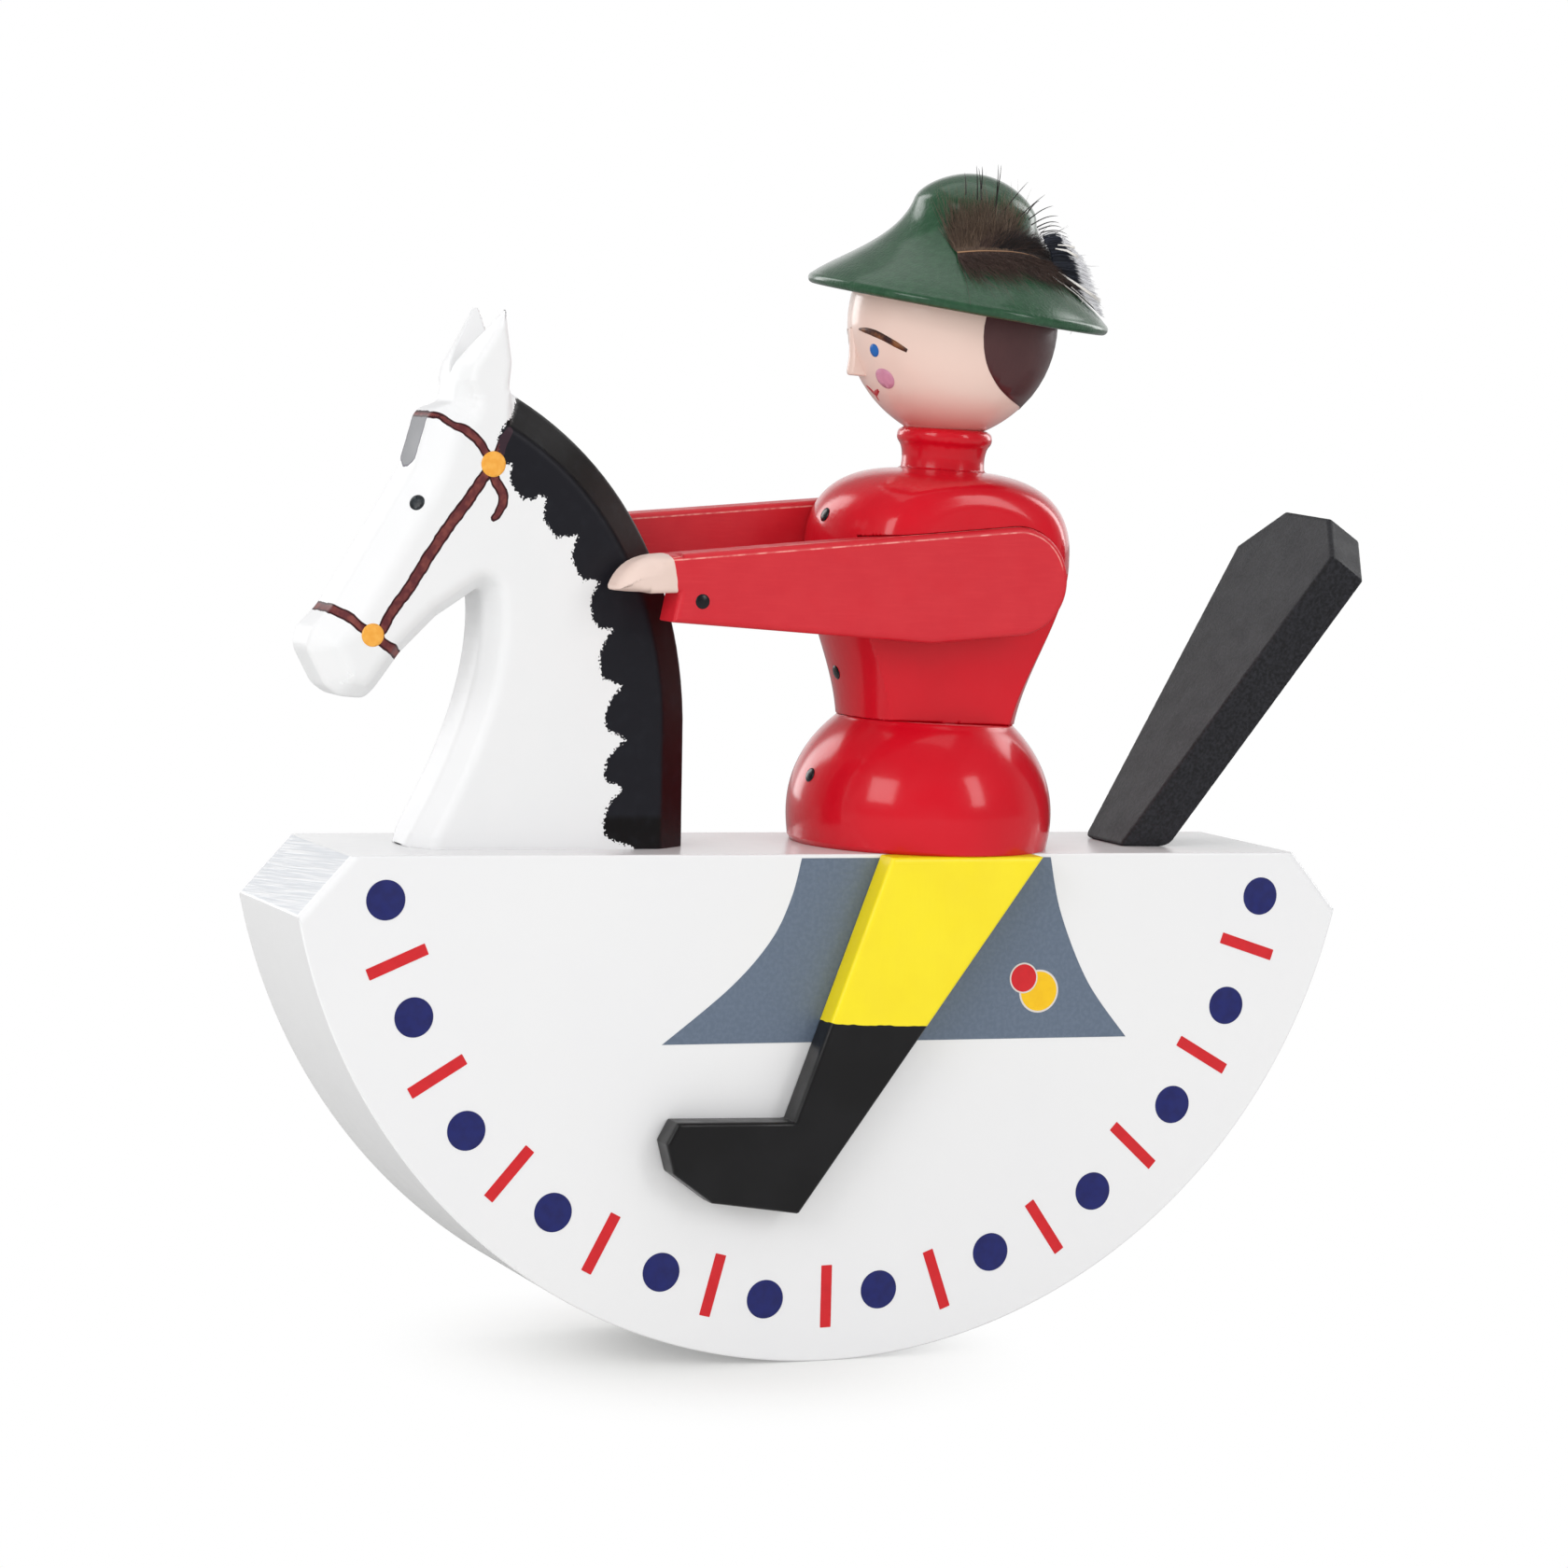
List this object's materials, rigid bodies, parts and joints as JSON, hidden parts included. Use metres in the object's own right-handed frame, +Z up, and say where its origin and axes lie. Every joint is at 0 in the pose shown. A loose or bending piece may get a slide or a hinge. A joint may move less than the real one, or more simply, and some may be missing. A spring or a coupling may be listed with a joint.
{
  "type": "wooden balancing rider toy",
  "caption": "Painted wooden rider in a hat with feather, on a carved horse that stands on a half-round rocker board and tips to and fro.",
  "frame": {"origin": "lowest line of the rocker's curved underside, at the middle of its length and of its thickness", "axes": "+Z up with the deck level, the horse looks along -X, the rider's left side is -Y"},
  "size_m": [0.182, 0.0482, 0.1879],
  "materials": {
    "white_lacquer": "satin white lacquer",
    "black_stain": "matt black stain with open grain",
    "red_lacquer": "gloss red lacquer",
    "red_paint": "matt red paint",
    "skin_lacquer": "satin skin-coloured lacquer",
    "green_lacquer": "satin green lacquer",
    "yellow_lacquer": "satin yellow paint, black from the knee down",
    "feather": "soft feather barbs",
    "bare_wood": "bare"
  },
  "bodies": {
    "horse_and_rider": {"rocker": "white_lacquer", "horse": "white_lacquer", "tail": "black_stain", "hips": "red_lacquer", "torso": "red_lacquer", "head": "skin_lacquer", "nose": "skin_lacquer", "hat": "green_lacquer", "feather_quill": "feather", "feather_down": "feather", "feather_vane": "feather", "left_leg": "yellow_lacquer", "right_leg": "yellow_lacquer", "front_neck_dowel": "bare_wood", "rear_neck_dowel": "bare_wood", "tail_dowel": "bare_wood", "spine_dowel": "bare_wood", "head_dowel": "bare_wood", "hat_dowel": "bare_wood", "left_shoulder_dowel": "bare_wood", "right_shoulder_dowel": "bare_wood", "left_thigh_dowel": "bare_wood", "left_boot_dowel": "bare_wood", "right_thigh_dowel": "bare_wood", "right_boot_dowel": "bare_wood"},
    "left_arm": {"left_arm": "red_paint"},
    "right_arm": {"right_arm": "red_paint"}
  },
  "joints": [
    {"name": "left_shoulder", "type": "hinge", "parent": "horse_and_rider", "child": "left_arm", "pos_m": [0.02738, -0.0138, 0.12298], "axis": [0, 1, 0], "range_deg": [-34, 0]},
    {"name": "right_shoulder", "type": "hinge", "parent": "horse_and_rider", "child": "right_arm", "pos_m": [0.02752, 0.0138, 0.12768], "axis": [0, 1, 0], "range_deg": [-39, 0]}
  ]
}
